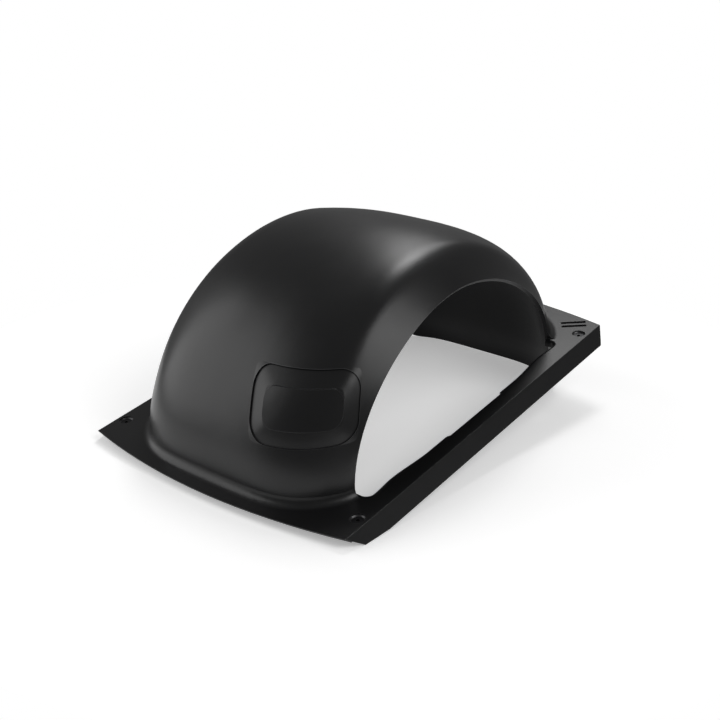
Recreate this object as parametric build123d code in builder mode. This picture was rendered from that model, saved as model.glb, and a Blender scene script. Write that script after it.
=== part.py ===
"""Wheel mudguard for a one-wheeled board, in millimetres.

X is across the board (along the wheel's axle), Y is along the board with its front at -Y, Z is up.
The origin is the middle of the four screw positions, on the plane where the flange sits on the rails.
"""
import os
from math import cos, hypot, pi, radians, sin

from build123d import *

# ---- driving dimensions --------------------------------------------------------------------------
wall = 3.0                 # moulding thickness of arch, apron and skirts
plate_thickness = 5.0      # flange, measured from the rail top
crease_x = 113.0           # half the flange width, where the skirts fold down
corner_y = 151.3           # half the flange length at its corners
flange_bulge = 12.5        # how far the middle of each end edge stands beyond the corners
skirt_out = 6.0            # how far the skirt's foot stands outside the crease
skirt_drop = 11.5          # flange top to skirt foot
skirt_front_tip_y = 140.0  # the skirt's front end is trimmed obliquely from the corner to here
skirt_front_full_y = 118.0 # and has its whole depth from here inwards
skirt_rear_tip_y = 144.0
skirt_rear_full_y = 142.0
skirt_tip_lift = 2.2       # height of those tips above the skirt foot
crease_round = 0.6
end_lip = 0.7              # thickness left at the undercut front and rear edges of the flange

crown_half_length = 149.2  # arch on the centre line, at flange level
crown_height = 113.9       # above the flange
crown_power = 1.89
shoulder_half_length = 116.0
shoulder_height = 108.8
shoulder_power = 2.04
shoulder_x_top = 69.2      # half width between the shoulders at the top of the arch
shoulder_x_base = 89.4     # and at flange level
crown_flatness_top = 2.73  # power of the crown's fall from centre line to shoulder
crown_flatness_base = 4.4  # and at flange level, where the arch is boxier
shoulder_base_push = 3.0   # how much further out the shoulder stands at flange level
edge_x = 90.5              # plane of the two side openings
edge_half_length = 114.6   # side opening at flange level
edge_height = 89.5
edge_power_front = 1.87
edge_power_rear = 1.76     # the opening's rear shoulder is lower than its front one
shoulder_round_top = 10.0  # length of the rounding on each side of the shoulder
shoulder_round_low = 3.5   # and lower down, where it is a crisper crease

apron_depth = 50.0         # rear apron below the rail top
apron_lean = 0.104         # how much it leans out, away from the tyre
apron_angle = 24.0         # sweep of the apron beyond the horizontal, before it is trimmed
apron_flattening = 16.0    # how much further out its shoulders stand by the end of that sweep
apron_half_width = 84.0
apron_corner = 28.0
front_angle = 4.0          # sweep of the front wall below the flange top, before it is trimmed

flare_radius = 6.0         # concave fillet between arch and flange
rail_inner_x = 99.2        # inner edge of the flange along the rails
rail_straight_y = 50.0
rail_waist = (96.6, 91.0)  # its narrowest place, near the ends of the side openings
rail_corner = (97.6, 106.5)
rail_corner_round = 4.5
rail_edge_round = 3.0      # the upper inner edge is rolled over
notch_x = 102.3            # the relief in the middle of each rail edge
notch_half_length = 30.0
notch_slope = 5.0          # length of its sloping ends

screw_x = 105.9
screw_y = 131.7
screw_places = [(sx * screw_x, sy * screw_y) for sx in (-1, 1) for sy in (-1, 1)]
screw_names = ["front_left", "rear_left", "front_right", "rear_right"]

thread_radius = 2.0        # M4
neck_radius = 1.6          # plain neck between head and thread, as thin as the thread's core
head_radius = 4.0
head_edge = 0.2            # height of the head's cylindrical rim
head_gap = 0.07            # radial play between the screw's cone and its seat
tip_chamfer = 0.5
screw_length = 8.0         # over all, head included
socket_across_flats = 2.5
socket_depth = 1.4

recess_radius = 4.9        # round recess in the flange's top above each seat
recess_depth = 1.0
seat_radius = 5.4          # metal seat moulded into each corner of the flange
seat_stem_radius = 4.2
seat_ledge = 1.5
seat_bore_radius = 2.25

pad_thickness = 0.8        # foam strip in a channel under each side of the flange
pad_x = 106.2
pad_width = 5.0
pad_half_length = 112.0

badge_x = 5.0              # line through the middle of the plain moulded panel, at y = 0
badge_z = 59.0
badge_turn = 24.0          # degrees that its direction is turned from -Y towards +X
badge_width = 69.0
badge_height = 39.0
badge_corner = 12.0
badge_depth = 0.9
badge_border = 9.0

slot_place = (95.3, 142.8) # two plain sunk slots beside the rear right recess
slot_turn = 35.0
slot_length = 19.0
slot_width = 3.2
slot_spacing = 5.6
slot_depth = 1.1

flange_top = plate_thickness
skirt_foot = flange_top - skirt_drop
seat_top = flange_top - recess_depth
cone_foot = seat_top - (recess_radius - seat_bore_radius)     # 90 degree cone
head_cone_top = seat_top - (recess_radius - head_gap - head_radius)
head_top = head_cone_top + head_edge
head_foot = head_cone_top - (head_radius - neck_radius)
screw_tip = head_top - screw_length
tip_chamfer_z = screw_tip + tip_chamfer
section_count = 13         # sections from the front horizontal over the top to the rear horizontal


# ---- arch sections -------------------------------------------------------------------------------
def superellipse(half_length, height, power, angle):
    """Distance from the axis to a superellipse, at an angle above the front horizontal."""
    across = abs(cos(angle)) / half_length
    up = abs(sin(angle)) / height
    return (across ** power + up ** power) ** (-1 / power)


def section_plane(degrees):
    """A plane through the axis at flange level; its y direction points out of the arch."""
    angle = degrees * pi / 180
    return Plane(origin=(0, 0, flange_top), x_dir=(1, 0, 0), z_dir=(0, -sin(angle), -cos(angle)))


def section_sizes(degrees):
    """Crown radius, shoulder radius and half width, edge radius, flatness and shoulder rounding."""
    angle = degrees * pi / 180
    crown = superellipse(crown_half_length, crown_height, crown_power, angle)
    low = abs(cos(angle)) ** 5
    shoulder = superellipse(shoulder_half_length, shoulder_height, shoulder_power, angle)
    shoulder += shoulder_base_push * low
    edge_power = edge_power_front if degrees < 90 else edge_power_rear
    edge = superellipse(edge_half_length, edge_height, edge_power, angle)
    half_width = shoulder_x_base + (shoulder_x_top - shoulder_x_base) * abs(sin(angle)) ** 1.1
    flatness = crown_flatness_top + (crown_flatness_base - crown_flatness_top) * low
    if degrees > 180:
        below = (degrees - 180) / apron_angle
        beyond = (degrees - 180) * pi / 180
        crown = crown_half_length / cos(beyond) * (1 + apron_lean * sin(beyond))
        shoulder = shoulder_half_length + shoulder_base_push + apron_flattening * below
        edge = edge_half_length + apron_flattening * below
        half_width = shoulder_x_base
        flatness = crown_flatness_base
    side_share = min(max(abs(degrees - 90) / 90 - 0.1, 0) / 0.4, 1)
    rounding = shoulder_round_top
    rounding += (shoulder_round_low - shoulder_round_top) * side_share ** 2 * (3 - 2 * side_share)
    return crown, shoulder, half_width, edge, flatness, rounding


def outer_points(degrees):
    """Right half of the outer outline, from the crown on the centre line to the opening edge."""
    crown, shoulder, half_width, edge, flatness, rounding = section_sizes(degrees)

    def crown_at(x):
        return crown - (crown - shoulder) * (x / half_width) ** flatness

    start_x = half_width - rounding
    band = hypot(edge_x - half_width, edge - shoulder)
    share = min(0.45, rounding / band)
    start = (start_x, crown_at(start_x))
    stop = (half_width + (edge_x - half_width) * share, shoulder + (edge - shoulder) * share)
    middle = tuple((a + 2 * c + b) / 4 for a, c, b in zip(start, (half_width, shoulder), stop))
    inner = [(start_x * t, crown_at(start_x * t)) for t in (0, 0.3, 0.6, 0.8, 0.93)]
    last = ((stop[0] + edge_x) / 2, (stop[1] + edge) / 2)
    return inner + [start, middle, stop, last, (edge_x, edge)]


def inset(points, amount):
    """Moves an outline that runs from the crown to the edge inwards, square to itself."""
    moved = []
    last = len(points) - 1
    for i, (x, y) in enumerate(points):
        before = points[max(i - 1, 0)] if i else (-points[1][0], points[1][1])
        after = points[min(i + 1, last)]
        dx, dy = after[0] - before[0], after[1] - before[1]
        length = hypot(dx, dy)
        moved.append((x + amount * dy / length, y - amount * dx / length))
    return moved


def both_sides(points):
    """The whole outline, left edge to right edge, from its right half."""
    return [(-x, y) for x, y in reversed(points[1:])] + points


section_angles = [-front_angle, 0] + [180 * i / section_count for i in range(1, section_count)]
section_angles += [180, 180 + apron_angle / 2, 180 + apron_angle]

# ---- shell ---------------------------------------------------------------------------------------
def arch_form(skin, core):
    """The arch and apron between two insets from the outer surface, over its whole sweep."""
    with BuildPart() as form:
        for degrees in section_angles:
            outer = both_sides(inset(outer_points(degrees), skin))
            inner = both_sides(inset(outer_points(degrees), core))
            with BuildSketch(section_plane(degrees)):
                with BuildLine():
                    Spline(*outer)
                    Line(outer[-1], inner[-1])
                    Spline(*reversed(inner))
                    Line(inner[0], outer[0])
                make_face()
        loft()
    return form.part


with BuildPart() as arch:
    add(arch_form(0, wall))
    # trim the front wall level with the rail top, and the rear apron to a round-cornered flap
    with BuildSketch(Plane.XY):
        with Locations((0, -corner_y)):
            Rectangle(4 * crease_x, 2 * corner_y)
    extrude(amount=-2 * apron_depth, mode=Mode.SUBTRACT)
    with BuildSketch(Plane.XZ):
        with Locations((0, -apron_depth)):
            Rectangle(4 * crease_x, 2 * apron_depth)
        RectangleRounded(2 * apron_half_width, 2 * apron_depth, apron_corner, mode=Mode.SUBTRACT)
    extrude(amount=2 * corner_y, both=True, mode=Mode.SUBTRACT)

with BuildPart() as skirts:
    slope = skirt_out / skirt_drop
    foot_x = crease_x + skirt_out
    across = wall * hypot(1, slope)
    with BuildSketch(Plane.XZ):
        for side in (-1, 1):
            with BuildLine():
                Polyline((side * (crease_x - across), flange_top), (side * crease_x, flange_top),
                         (side * foot_x, skirt_foot), (side * (foot_x - across), skirt_foot), close=True)
            make_face()
    extrude(amount=corner_y, both=True)
    # the ends are trimmed obliquely, from the flange's corners to the skirt's foot
    with BuildSketch(Plane.YZ):
        with BuildLine():
            Polyline((-corner_y, flange_top), (-skirt_front_tip_y, skirt_foot + skirt_tip_lift),
                     (-skirt_front_full_y, skirt_foot), (skirt_rear_full_y, skirt_foot),
                     (skirt_rear_tip_y, skirt_foot + skirt_tip_lift), (corner_y, flange_top), close=True)
        make_face()
    extrude(amount=2 * crease_x, both=True, mode=Mode.INTERSECT)

with BuildPart() as shell:
    # flange plate with gently bowed front and rear edges
    with BuildSketch():
        with BuildLine():
            ThreePointArc((-crease_x, -corner_y), (0, -corner_y - flange_bulge), (crease_x, -corner_y))
            Line((crease_x, -corner_y), (crease_x, corner_y))
            ThreePointArc((crease_x, corner_y), (0, corner_y + flange_bulge), (-crease_x, corner_y))
            Line((-crease_x, corner_y), (-crease_x, -corner_y))
        make_face()
    extrude(amount=plate_thickness)

    # its front and rear edges are undercut to a thin lip
    end_edges = shell.part.edges().filter_by(GeomType.CIRCLE).group_by(Axis.Z)[0]
    chamfer(end_edges, length=plate_thickness - end_lip)

    # opening along the rails, with its upper edge rolled over
    with BuildSketch():
        with BuildLine():
            for side in (-1, 1):
                corner_x, corner_end = rail_corner
                across = (side * (corner_x - rail_corner_round), corner_end + rail_corner_round)
                outline = (rail_corner, rail_waist, (rail_inner_x, rail_straight_y))
                points = [(side * x, y) for x, y in outline]
                Spline(*points, tangents=[(0, -1), (0, -1)])
                Line(points[-1], (points[-1][0], 0))
                RadiusArc(across, points[0], side * rail_corner_round)
                Line(across, (0, across[1]))
            mirror(about=Plane.XZ)
        make_face()
    extrude(amount=plate_thickness, mode=Mode.SUBTRACT)
    rail_edges = (
        shell.part.edges()
        .filter_by_position(Axis.Z, flange_top - 0.05, flange_top + 0.05)
        .filter_by(lambda edge: edge.bounding_box().size.X < crease_x and abs(edge.center().Y) < corner_y)
        .filter_by(lambda edge: abs(edge.center().X) < crease_x - 5)
    )
    fillet(rail_edges, radius=rail_edge_round)

    # opening under the arch, which stands on its edge, and the relief in each rail
    end_outline = both_sides(inset(outer_points(0), wall / 2))
    with BuildSketch():
        with BuildLine():
            Spline(*[(x, -y) for x, y in end_outline])
            Line((end_outline[-1][0], -end_outline[-1][1]), end_outline[-1])
            Spline(*reversed(end_outline))
            Line(end_outline[0], (end_outline[0][0], -end_outline[0][1]))
        make_face()
        with BuildLine():
            for side in (-1, 1):
                Polyline((0, -notch_half_length - notch_slope),
                         (side * (rail_inner_x - 1), -notch_half_length - notch_slope),
                         (side * notch_x, -notch_half_length), (side * notch_x, notch_half_length),
                         (side * (rail_inner_x - 1), notch_half_length + notch_slope),
                         (0, notch_half_length + notch_slope))
        make_face()
    extrude(amount=plate_thickness, mode=Mode.SUBTRACT)
    add(arch.part)
    joins = (
        shell.part.edges()
        .filter_by_position(Axis.Z, flange_top - 0.05, flange_top + 0.05)
        .filter_by(GeomType.BSPLINE)
        .sort_by(SortBy.LENGTH)[-2:]
    )
    fillet(joins, radius=flare_radius)
    add(skirts.part)
    creases = (
        shell.part.edges()
        .filter_by_position(Axis.Z, flange_top - 0.05, flange_top + 0.05)
        .filter_by(lambda edge: abs(abs(edge.center().X) - crease_x) < 0.1)
    )
    fillet(creases, radius=crease_round)

    # a round recess over a pocket for the metal seat at each corner
    for height, top, radius in (
        (recess_depth, flange_top, recess_radius),
        (seat_top - seat_ledge, seat_top, seat_radius),
        (seat_ledge, seat_ledge, seat_stem_radius),
    ):
        with Locations([(x, y, top) for x, y in screw_places]):
            Cylinder(radius, height, align=(Align.CENTER, Align.CENTER, Align.MAX), mode=Mode.SUBTRACT)

    # two plain slots beside one recess, and a channel for the pad under each side
    with BuildSketch(Plane(origin=(*slot_place, flange_top)).rotated((0, 0, slot_turn))):
        with Locations((0, -slot_spacing / 2), (0, slot_spacing / 2)):
            SlotOverall(slot_length, slot_width)
    extrude(amount=-slot_depth, mode=Mode.SUBTRACT)
    with BuildSketch():
        with Locations((-pad_x, 0), (pad_x, 0)):
            Rectangle(pad_width, 2 * pad_half_length)
    extrude(amount=pad_thickness, mode=Mode.SUBTRACT)

# plain moulded panel: a sunk rounded border round a raised middle, following the arch's surface
panel_turn = radians(badge_turn)
panel_plane = Plane(
    origin=(badge_x, 0, badge_z),
    x_dir=(cos(panel_turn), sin(panel_turn), 0),
    z_dir=(sin(panel_turn), -cos(panel_turn), 0),
)
with BuildPart() as badge_border_cut:
    add(arch_form(-2 * wall, badge_depth))
    with BuildSketch(panel_plane):
        RectangleRounded(badge_width, badge_height, badge_corner)
        RectangleRounded(badge_width - 2 * badge_border, badge_height - 2 * badge_border,
                         badge_corner - badge_border / 2, mode=Mode.SUBTRACT)
    extrude(amount=250, mode=Mode.INTERSECT)
with BuildPart() as mudguard_shell:
    add(shell.part)
    add(badge_border_cut.part, mode=Mode.SUBTRACT)
mudguard_shell.part.label = "mudguard_shell"

# ---- metal seats, screws and pads ----------------------------------------------------------------
seats = []
screws = []
for x, y in screw_places:
    with BuildPart() as seat:
        with BuildSketch(Plane.XZ.offset(-y)):
            with BuildLine():
                Polyline((x + seat_bore_radius, 0), (x + seat_stem_radius, 0),
                         (x + seat_stem_radius, seat_ledge), (x + seat_radius, seat_ledge),
                         (x + seat_radius, seat_top), (x + recess_radius, seat_top),
                         (x + seat_bore_radius, cone_foot), close=True)
            make_face()
        revolve(axis=Axis((x, y, 0), (0, 0, 1)))
    seats.append(seat.part)
    with BuildPart() as screw:
        with BuildSketch(Plane.XZ.offset(-y)):
            with BuildLine():
                Polyline((x, head_top), (x + head_radius, head_top), (x + head_radius, head_cone_top),
                         (x + neck_radius, head_foot), (x + neck_radius, 0), (x + thread_radius, 0),
                         (x + thread_radius, tip_chamfer_z), (x + thread_radius - tip_chamfer, screw_tip),
                         (x, screw_tip), close=True)
            make_face()
        revolve(axis=Axis((x, y, 0), (0, 0, 1)))
        with BuildSketch(Plane.XY.offset(head_top)):
            with Locations((x, y)):
                RegularPolygon(socket_across_flats / 2, 6, major_radius=False)
        extrude(amount=-socket_depth, mode=Mode.SUBTRACT)
    screws.append(screw.part)

pads = []
for side in (-1, 1):
    with BuildPart() as pad:
        with BuildSketch():
            with Locations((side * pad_x, 0)):
                Rectangle(pad_width, 2 * pad_half_length)
        extrude(amount=pad_thickness)
    pads.append(pad.part)

# ---- named pieces --------------------------------------------------------------------------------
os.makedirs("parts", exist_ok=True)
pieces = {"mudguard_shell": mudguard_shell.part, "rail_pad_left": pads[0], "rail_pad_right": pads[1]}
for name, seat_part, screw_part in zip(screw_names, seats, screws):
    pieces["screw_seat_" + name] = seat_part
    pieces["screw_" + name] = screw_part
for name, piece in pieces.items():
    piece.label = name
    export_step(piece, f"parts/{name}.step")
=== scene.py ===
"""Looks for the wheel mudguard: its moulded shell, screws, seats and pads on a pale floor."""
from math import cos, radians, sin

import bmesh
import bpy
from mathutils import Matrix, Vector

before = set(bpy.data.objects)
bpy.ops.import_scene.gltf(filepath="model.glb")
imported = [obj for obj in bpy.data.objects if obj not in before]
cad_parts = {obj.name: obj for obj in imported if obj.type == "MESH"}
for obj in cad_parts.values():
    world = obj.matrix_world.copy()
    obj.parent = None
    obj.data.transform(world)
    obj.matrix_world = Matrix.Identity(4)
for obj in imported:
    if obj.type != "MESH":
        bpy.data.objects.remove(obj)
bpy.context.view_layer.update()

MM = 0.001

# ---- where the object stands ---------------------------------------------------------------------
# The guard rests on its two front skirt tips and on the foot of its rear apron, so the floor falls
# towards the rear in the frame where the flange is level.
SKIRT_TIP = Vector((0, -140, -4.3)) * MM
FLOOR_FALL = 0.1588
FLOOR_UP = Vector((0, FLOOR_FALL, 1)).normalized()
FLOOR_RADIUS = 0.36

# ---- plain moulded panel on the front, as the CAD model places it --------------------------------
UP = Vector((0, 0, 1))
PANEL_TURN = radians(24)
PANEL_MIDDLE = Vector((5, 0, 59)) * MM
PANEL_X = Vector((cos(PANEL_TURN), sin(PANEL_TURN), 0))
PANEL_OUT = PANEL_X.cross(UP)
PANEL_WIDTH = 69 * MM
PANEL_HEIGHT = 39 * MM
PANEL_BORDER = 9 * MM
PANEL_CORNER_BLEND = 8 * MM
PANEL_BEVEL_DEPTH = 1.8 * MM

# ---- camera --------------------------------------------------------------------------------------
CAMERA_PLACE = Vector((0.4771, -0.5256, 0.4168))
CAMERA_AZIMUTH = radians(42.06)
CAMERA_DIP = radians(29.34)
CAMERA_UP = Vector((0, 0.15, 1))
LENS_MM = 56.4
SENSOR_MM = 36

# ---- light and looks -----------------------------------------------------------------------------
LIT_POINT = Vector((0, 0, 0.03))
LIGHT_DISTANCE = 1.3
# name, azimuth from +Y towards -X and elevation in degrees, width in metres, brightness
SOFT_LIGHTS = (
    ("left", 121, 26, 1.2, 1.55),
    ("right", -85, 42, 0.75, 2.9),
    ("rear", 23, 35, 0.45, 2.3),
    ("key", 19, 50, 0.35, 8.5),
)
STUDIO_STRENGTH = 0.18
BACKDROP_STRENGTH = 1.0
FLOOR_GLOW = 0.33

PLASTIC_BLACK = (0.006, 0.006, 0.0064)
# Paler edge colour: partly rubbed wear, partly a painted highlight along the edges.
PLASTIC_RUBBED_AND_HIGHLIT = (0.06, 0.06, 0.062)
OUTER_SPECULAR = 0.4
# Lower specular level on the inside: painted shade that darkens the inside of the arch.
INNER_SPECULAR_PAINTED_SHADE = 0.1
SEAT_BLACK = (0.06, 0.06, 0.062)
SCREW_BLACK = (0.03, 0.03, 0.032)
BARE_STEEL = (0.22, 0.21, 0.20)
FOAM_DARK = (0.02, 0.02, 0.021)
FOAM_PALE = (0.055, 0.055, 0.058)


def link(name, data):
    obj = bpy.data.objects.new(name, data)
    bpy.context.scene.collection.objects.link(obj)
    return obj


def axes_matrix(x, y, z, place):
    return Matrix((
        (x.x, y.x, z.x, place.x),
        (x.y, y.y, z.y, place.y),
        (x.z, y.z, z.z, place.z),
        (0, 0, 0, 1),
    ))


def add_camera():
    data = bpy.data.cameras.new("camera")
    data.lens = LENS_MM
    data.sensor_width = SENSOR_MM
    camera = link("camera", data)
    forward = Vector((
        -sin(CAMERA_AZIMUTH) * cos(CAMERA_DIP),
        cos(CAMERA_AZIMUTH) * cos(CAMERA_DIP),
        -sin(CAMERA_DIP),
    ))
    right = forward.cross(CAMERA_UP).normalized()
    camera.matrix_world = axes_matrix(right, right.cross(forward), -forward, CAMERA_PLACE)
    bpy.context.scene.camera = camera


# ---- materials -----------------------------------------------------------------------------------
class Shader:
    """A node material that is built up line by line."""

    def __init__(self, name):
        self.material = bpy.data.materials.new(name)
        self.material.use_nodes = True
        self.tree = self.material.node_tree
        self.principled = self.tree.nodes["Principled BSDF"]
        self.coordinates = self.add("ShaderNodeTexCoord").outputs["Object"]

    def add(self, kind, **settings):
        node = self.tree.nodes.new(kind)
        for name, value in settings.items():
            setattr(node, name, value)
        return node

    def link(self, output, target):
        self.tree.links.new(output, target)

    def noise(self, scale, detail=3.0, roughness=0.5):
        node = self.add("ShaderNodeTexNoise")
        node.inputs["Scale"].default_value = scale
        node.inputs["Detail"].default_value = detail
        node.inputs["Roughness"].default_value = roughness
        self.link(self.coordinates, node.inputs["Vector"])
        return node.outputs["Fac"]

    def spread(self, value, low, high, to_low, to_high):
        """Maps a value from one range to another."""
        node = self.add("ShaderNodeMapRange")
        self.link(value, node.inputs["Value"])
        for name, number in (("From Min", low), ("From Max", high), ("To Min", to_low), ("To Max", to_high)):
            node.inputs[name].default_value = number
        return node.outputs["Result"]

    def math(self, operation, first, second=0.0, third=0.0):
        node = self.add("ShaderNodeMath", operation=operation)
        for socket, value in zip(node.inputs, (first, second, third)):
            if isinstance(value, (int, float)):
                socket.default_value = value
            else:
                self.link(value, socket)
        return node.outputs["Value"]

    def mix(self, share, first, second):
        node = self.add("ShaderNodeMix", data_type="RGBA")
        self.link(share, node.inputs["Factor"])
        node.inputs["A"].default_value = (*first, 1)
        node.inputs["B"].default_value = (*second, 1)
        return node.outputs["Result"]

    def edges(self, radius):
        """About 0 on flat stretches and up to 1 on convex and concave edges."""
        bevel = self.add("ShaderNodeBevel", samples=4)
        bevel.inputs["Radius"].default_value = radius
        plain = self.add("ShaderNodeNewGeometry").outputs["Normal"]
        dot = self.add("ShaderNodeVectorMath", operation="DOT_PRODUCT")
        self.link(bevel.outputs["Normal"], dot.inputs[0])
        self.link(plain, dot.inputs[1])
        return self.spread(dot.outputs["Value"], 0.98, 0.80, 0.0, 1.0)

    def inner_side(self):
        """About 1 on surfaces that face the wheel's axle and 0 on those that face away from it."""
        geometry = self.add("ShaderNodeNewGeometry")
        facing = self.add("ShaderNodeVectorMath", operation="DOT_PRODUCT")
        self.link(geometry.outputs["Normal"], facing.inputs[0])
        self.link(self.coordinates, facing.inputs[1])
        return self.spread(facing.outputs["Value"], -0.01, -0.035, 0.0, 1.0)

    def along(self, direction, origin):
        """Distance of the shaded point from an origin, measured in a direction."""
        dot = self.add("ShaderNodeVectorMath", operation="DOT_PRODUCT")
        self.link(self.coordinates, dot.inputs[0])
        dot.inputs[1].default_value = direction
        return self.math("SUBTRACT", dot.outputs["Value"], origin.dot(direction))

    def panel_bevel(self):
        """Rises from 0 at the panel's outline to 1 at the inner edge of its border."""
        sideways = self.math("ABSOLUTE", self.along(PANEL_X, PANEL_MIDDLE))
        upwards = self.math("ABSOLUTE", self.along(UP, PANEL_MIDDLE))
        from_side = self.math("SUBTRACT", PANEL_WIDTH / 2, sideways)
        from_end = self.math("SUBTRACT", PANEL_HEIGHT / 2, upwards)
        inwards = self.math("SMOOTH_MIN", from_side, from_end, PANEL_CORNER_BLEND)
        bevel = self.spread(inwards, 0.0, PANEL_BORDER, 0.0, 1.0)
        in_front = self.math("GREATER_THAN", self.along(PANEL_OUT, PANEL_MIDDLE), 0.0)
        return self.math("MULTIPLY", bevel, in_front)

    def bump(self, height, distance, strength, below=None):
        node = self.add("ShaderNodeBump")
        node.inputs["Distance"].default_value = distance
        node.inputs["Strength"].default_value = strength
        self.link(height, node.inputs["Height"])
        if below is not None:
            self.link(below, node.inputs["Normal"])
        return node.outputs["Normal"]


def moulded_plastic():
    """Satin black nylon: fine grain, slight sheen changes, paler edges that are partly rubbed wear and
    partly a painted edge highlight, and a lower specular level on the inside that paints shade there.
    """
    shader = Shader("moulded_black_plastic")
    sheen_patches = shader.noise(22, 3)
    grain = shader.noise(2600, 2, 0.6)
    flow = shader.noise(60, 4, 0.55)
    # Paler edges: partly rubbed wear and partly a painted edge highlight standing in for light caught on
    # convex and concave edges.
    wear = shader.math("MULTIPLY", shader.edges(0.6 * MM), shader.spread(flow, 0.35, 0.65, 0.4, 1.0))
    shader.link(shader.mix(wear, PLASTIC_BLACK, PLASTIC_RUBBED_AND_HIGHLIT), shader.principled.inputs["Base Color"])
    roughness = shader.spread(sheen_patches, 0.3, 0.7, 0.30, 0.36)
    shader.link(roughness, shader.principled.inputs["Roughness"])
    fine = shader.bump(grain, 0.03 * MM, 0.35)
    uneven = shader.bump(flow, 0.15 * MM, 0.12, fine)
    bevelled = shader.bump(shader.panel_bevel(), PANEL_BEVEL_DEPTH, 1.0, uneven)
    shader.link(bevelled, shader.principled.inputs["Normal"])
    # Surfaces facing the axle get a lower specular level, which paints shade into the arch's inside.
    specular = shader.spread(shader.inner_side(), 0.0, 1.0, OUTER_SPECULAR, INNER_SPECULAR_PAINTED_SHADE)
    shader.link(specular, shader.principled.inputs["Specular IOR Level"])
    return shader.material


def black_steel(name, colour, roughness):
    """Blackened steel with fine tool marks and rubbed edges."""
    shader = Shader(name)
    marks = shader.noise(900, 2)
    wear = shader.edges(0.15 * MM)
    shader.link(shader.mix(wear, colour, BARE_STEEL), shader.principled.inputs["Base Color"])
    shader.link(shader.spread(marks, 0.3, 0.7, roughness - 0.06, roughness + 0.06),
                shader.principled.inputs["Roughness"])
    shader.principled.inputs["Metallic"].default_value = 0.85
    shader.link(shader.bump(marks, 0.02 * MM, 0.4), shader.principled.inputs["Normal"])
    return shader.material


def foam():
    """Closed-cell foam strip."""
    shader = Shader("pad_foam")
    cells = shader.noise(1800, 2, 0.7)
    shader.link(shader.mix(cells, FOAM_DARK, FOAM_PALE), shader.principled.inputs["Base Color"])
    shader.link(shader.spread(cells, 0.2, 0.8, 0.85, 1.0), shader.principled.inputs["Roughness"])
    shader.link(shader.bump(cells, 0.25 * MM, 0.8), shader.principled.inputs["Normal"])
    return shader.material


def pale_floor():
    """White paper that glows faintly, so that its shadows stay soft."""
    shader = Shader("pale_floor")
    shader.principled.inputs["Base Color"].default_value = (0.9, 0.9, 0.9, 1)
    shader.principled.inputs["Roughness"].default_value = 0.6
    shader.principled.inputs["Specular IOR Level"].default_value = 0.2
    shader.principled.inputs["Emission Color"].default_value = (1, 1, 1, 1)
    shader.principled.inputs["Emission Strength"].default_value = FLOOR_GLOW
    return shader.material


def assign(obj, material):
    if not obj.data.materials:
        obj.data.materials.append(material)
    for i in range(len(obj.data.materials)):
        obj.data.materials[i] = material


# ---- floor and light -----------------------------------------------------------------------------
def add_floor():
    mesh = bpy.data.meshes.new("floor")
    disc = bmesh.new()
    bmesh.ops.create_circle(disc, cap_ends=True, segments=96, radius=FLOOR_RADIUS)
    disc.to_mesh(mesh)
    disc.free()
    floor = link("floor", mesh)
    x = Vector((1, 0, 0))
    middle = SKIRT_TIP + Vector((0, -SKIRT_TIP.y, SKIRT_TIP.y * FLOOR_FALL))
    floor.matrix_world = axes_matrix(x, FLOOR_UP.cross(x), FLOOR_UP, middle)
    mesh.materials.append(pale_floor())


def add_area_light(name, azimuth, elevation, width, brightness):
    """A square soft light on one side of the object, pointing at it."""
    turn, rise = radians(azimuth), radians(elevation)
    direction = Vector((-sin(turn) * cos(rise), cos(turn) * cos(rise), sin(rise)))
    data = bpy.data.lights.new(name, "AREA")
    data.size = width
    data.energy = 4 * width * width * brightness
    light = link(name, data)
    light.location = LIT_POINT + direction * LIGHT_DISTANCE
    light.rotation_mode = "QUATERNION"
    light.rotation_quaternion = (-direction).to_track_quat("-Z", "Y")


def add_world():
    """A dim even studio, seen by the camera as plain white."""
    world = bpy.data.worlds.new("studio")
    world.use_nodes = True
    nodes, links = world.node_tree.nodes, world.node_tree.links
    dim = nodes["Background"]
    dim.inputs["Color"].default_value = (1, 1, 1, 1)
    dim.inputs["Strength"].default_value = STUDIO_STRENGTH
    plain = nodes.new("ShaderNodeBackground")
    plain.inputs["Color"].default_value = (1, 1, 1, 1)
    plain.inputs["Strength"].default_value = BACKDROP_STRENGTH
    choice = nodes.new("ShaderNodeMixShader")
    links.new(nodes.new("ShaderNodeLightPath").outputs["Is Camera Ray"], choice.inputs["Fac"])
    links.new(dim.outputs["Background"], choice.inputs[1])
    links.new(plain.outputs["Background"], choice.inputs[2])
    links.new(choice.outputs["Shader"], nodes["World Output"].inputs["Surface"])
    bpy.context.scene.world = world


add_camera()
add_floor()
add_world()
for soft_light in SOFT_LIGHTS:
    add_area_light(*soft_light)
bpy.context.scene.view_settings.view_transform = "Standard"

plastic = moulded_plastic()
seat_metal = black_steel("seat_metal", SEAT_BLACK, 0.38)
screw_metal = black_steel("screw_metal", SCREW_BLACK, 0.42)
pad_foam = foam()
for name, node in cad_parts.items():
    if name.startswith("screw_seat"):
        assign(node, seat_metal)
    elif name.startswith("screw"):
        assign(node, screw_metal)
    elif name.startswith("rail_pad"):
        assign(node, pad_foam)
    else:
        assign(node, plastic)
